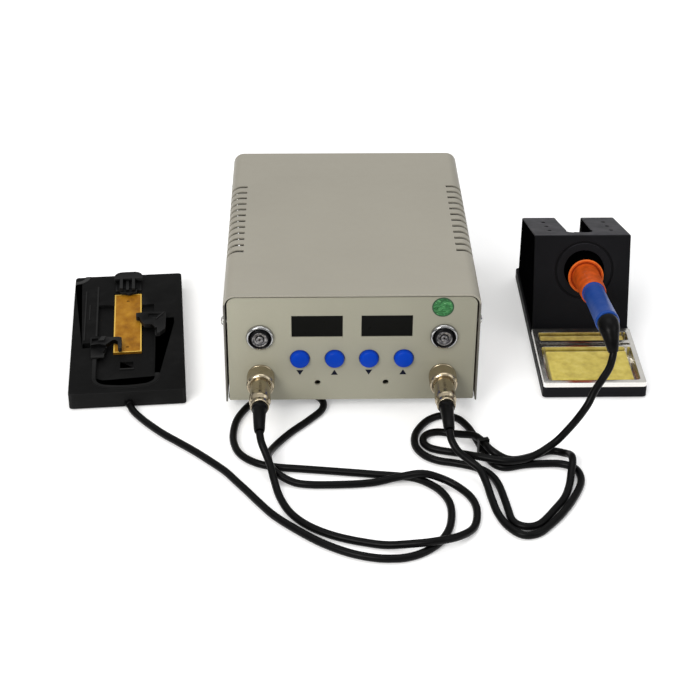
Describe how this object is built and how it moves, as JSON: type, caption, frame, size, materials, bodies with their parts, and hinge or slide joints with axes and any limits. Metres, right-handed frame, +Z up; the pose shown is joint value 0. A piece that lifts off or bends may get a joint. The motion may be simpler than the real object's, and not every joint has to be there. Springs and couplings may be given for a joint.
{
  "type": "soldering station with preheater",
  "caption": "Two-channel soldering station with a preheating platform, an iron in a block holder with sponge tray, and the cords that join them.",
  "frame": {"origin": "middle of the footprint of the three units (cords left out), on the table", "axes": "+X to the user's right, +Y away from the user towards the mains inlet, +Z up; the station's front panel faces -Y"},
  "size_m": [0.4096, 0.3879, 0.0905],
  "materials": {
    "cover_paint": "warm light grey baked enamel, slightly glossy",
    "panel_paint": "warm light grey baked enamel, satin",
    "zinc_sheet": "galvanised sheet",
    "screw_steel": "nickel plated",
    "foot_rubber": "matt black",
    "dark_window": "dark smoked acrylic, polished",
    "display_body": "grey display body",
    "circuit_board": "green solder mask",
    "brass_turned": "turned brass",
    "blue_cap": "bright blue moulded plastic",
    "switch_chrome": "polished chrome",
    "plug_nickel": "warm nickel plate, satin",
    "core_steel": "varnished laminations",
    "copper_wire": "enamelled copper winding",
    "inlet_black": "black moulded plastic",
    "wire_red": "insulated hook-up wire",
    "seal_green": "plain green foil",
    "preheater_black": "fine textured black",
    "plate_gold": "brushed gold coloured heated plate",
    "ceramic": "white ceramic heater",
    "clamp_dark": "dark grey coated metal with bright edges",
    "holder_black": "black textured paint",
    "tray_steel": "stainless sheet",
    "sponge_yellow": "olive yellow cellulose sponge",
    "strip_gold": "gold brown cleaning wool",
    "handle_blue": "blue moulded plastic, satin",
    "flange_orange": "orange silicone",
    "iron_steel": "stainless tube",
    "tip_iron": "iron plated, tinned point",
    "cord_black": "black flexible cord"
  },
  "bodies": {
    "station": {"chassis_base": "zinc_sheet", "front_panel": "panel_paint", "rear_panel": "panel_paint", "top_cover": "cover_paint", "case_screws": "screw_steel", "rubber_feet": "foot_rubber", "display_window_1": "dark_window", "display_window_2": "dark_window", "led_displays": "display_body", "control_board": "circuit_board", "board_standoffs": "brass_turned", "power_switch_1": "switch_chrome", "power_switch_2": "switch_chrome", "panel_nuts": "screw_steel", "panel_socket_1": "plug_nickel", "panel_socket_2": "plug_nickel", "plug_shell_1": "plug_nickel", "plug_shell_2": "plug_nickel", "plug_boot_1": "cord_black", "plug_boot_2": "cord_black", "transformer_core": "core_steel", "transformer_winding": "copper_wire", "power_board": "circuit_board", "wire_loom": "wire_red", "mains_inlet": "inlet_black", "inspection_seal": "seal_green", "preheater_housing": "preheater_black", "preheater_base": "zinc_sheet", "heated_plate": "plate_gold", "heater_element": "ceramic", "preheater_gland": "cord_black", "stand_base": "holder_black", "iron_holder": "holder_black", "preheater_cord": "cord_black", "iron_cord": "cord_black", "cord_tie": "cord_black"},
    "tray": {"sponge_tray": "tray_steel", "wiping_strip": "strip_gold"},
    "iron": {"iron_handle": "handle_blue", "iron_flange": "flange_orange", "iron_boot": "cord_black", "iron_barrel": "iron_steel", "iron_tip": "tip_iron", "iron_cord_lead": "cord_black"},
    "power_button_1": {"power_button_1": "switch_chrome"},
    "power_button_2": {"power_button_2": "switch_chrome"},
    "down_button_1": {"down_button_1": "blue_cap"},
    "up_button_1": {"up_button_1": "blue_cap"},
    "down_button_2": {"down_button_2": "blue_cap"},
    "up_button_2": {"up_button_2": "blue_cap"},
    "coupling_ring_1": {"coupling_ring_1": "plug_nickel"},
    "coupling_ring_2": {"coupling_ring_2": "plug_nickel"},
    "cal_trimmer_1": {"cal_trimmer_1": "brass_turned"},
    "cal_trimmer_2": {"cal_trimmer_2": "brass_turned"},
    "fuse_drawer": {"fuse_drawer": "inlet_black"},
    "left_clamp": {"left_clamp": "clamp_dark"},
    "right_clamp": {"right_clamp": "clamp_dark"},
    "top_clamp": {"top_clamp": "clamp_dark"},
    "sponge": {"sponge": "sponge_yellow"},
    "iron_nut": {"iron_nut": "iron_steel"}
  },
  "joints": [
    {"name": "power_button_1_press", "type": "slide", "parent": "station", "child": "power_button_1", "axis": [0, 1, 0], "range_m": [0, 0.002], "stiffness_N_per_m": 400},
    {"name": "power_button_2_press", "type": "slide", "parent": "station", "child": "power_button_2", "axis": [0, 1, 0], "range_m": [0, 0.002], "stiffness_N_per_m": 400},
    {"name": "down_button_1_press", "type": "slide", "parent": "station", "child": "down_button_1", "axis": [0, 1, 0], "range_m": [0, 0.001], "stiffness_N_per_m": 300},
    {"name": "up_button_1_press", "type": "slide", "parent": "station", "child": "up_button_1", "axis": [0, 1, 0], "range_m": [0, 0.001], "stiffness_N_per_m": 300},
    {"name": "down_button_2_press", "type": "slide", "parent": "station", "child": "down_button_2", "axis": [0, 1, 0], "range_m": [0, 0.001], "stiffness_N_per_m": 300},
    {"name": "up_button_2_press", "type": "slide", "parent": "station", "child": "up_button_2", "axis": [0, 1, 0], "range_m": [0, 0.001], "stiffness_N_per_m": 300},
    {"name": "coupling_ring_1_turn", "type": "hinge", "parent": "station", "child": "coupling_ring_1", "pos_m": [-0.06079, -0.09457, 0.0276], "axis": [0, 1, 0], "continuous": true},
    {"name": "coupling_ring_2_turn", "type": "hinge", "parent": "station", "child": "coupling_ring_2", "pos_m": [0.06161, -0.09457, 0.0276], "axis": [0, 1, 0], "continuous": true},
    {"name": "cal_trimmer_1_turn", "type": "hinge", "parent": "station", "child": "cal_trimmer_1", "pos_m": [-0.02259, -0.09457, 0.0221], "axis": [0, 1, 0], "range_deg": [-135, 135]},
    {"name": "cal_trimmer_2_turn", "type": "hinge", "parent": "station", "child": "cal_trimmer_2", "pos_m": [0.02341, -0.09457, 0.0221], "axis": [0, 1, 0], "range_deg": [-135, 135]},
    {"name": "fuse_drawer_slide", "type": "slide", "parent": "station", "child": "fuse_drawer", "axis": [0, 1, 0], "range_m": [0, 0.018]},
    {"name": "left_clamp_slide", "type": "slide", "parent": "station", "child": "left_clamp", "axis": [-0.9967, -0.0811, 0], "range_m": [0, 0.006], "stiffness_N_per_m": 150},
    {"name": "right_clamp_slide", "type": "slide", "parent": "station", "child": "right_clamp", "axis": [0.9967, 0.0811, 0], "range_m": [0, 0.006], "stiffness_N_per_m": 150},
    {"name": "top_clamp_slide", "type": "slide", "parent": "station", "child": "top_clamp", "axis": [-0.0811, 0.9967, 0], "range_m": [0, 0.006], "stiffness_N_per_m": 150},
    {"name": "sponge_tray_lift", "type": "slide", "parent": "station", "child": "tray", "axis": [0, 0, 1], "range_m": [0, 0.02]},
    {"name": "sponge_lift", "type": "slide", "parent": "tray", "child": "sponge", "axis": [0, 0, 1], "range_m": [0, 0.015]},
    {"name": "iron_draw", "type": "slide", "parent": "station", "child": "iron", "axis": [-0.0406, -0.9677, 0.2487], "range_m": [0, 0.07]},
    {"name": "iron_nut_turn", "type": "hinge", "parent": "iron", "child": "iron_nut", "pos_m": [0.17171, 0.00523, 0.04755], "axis": [-0.0406, -0.9677, 0.2487], "continuous": true}
  ]
}
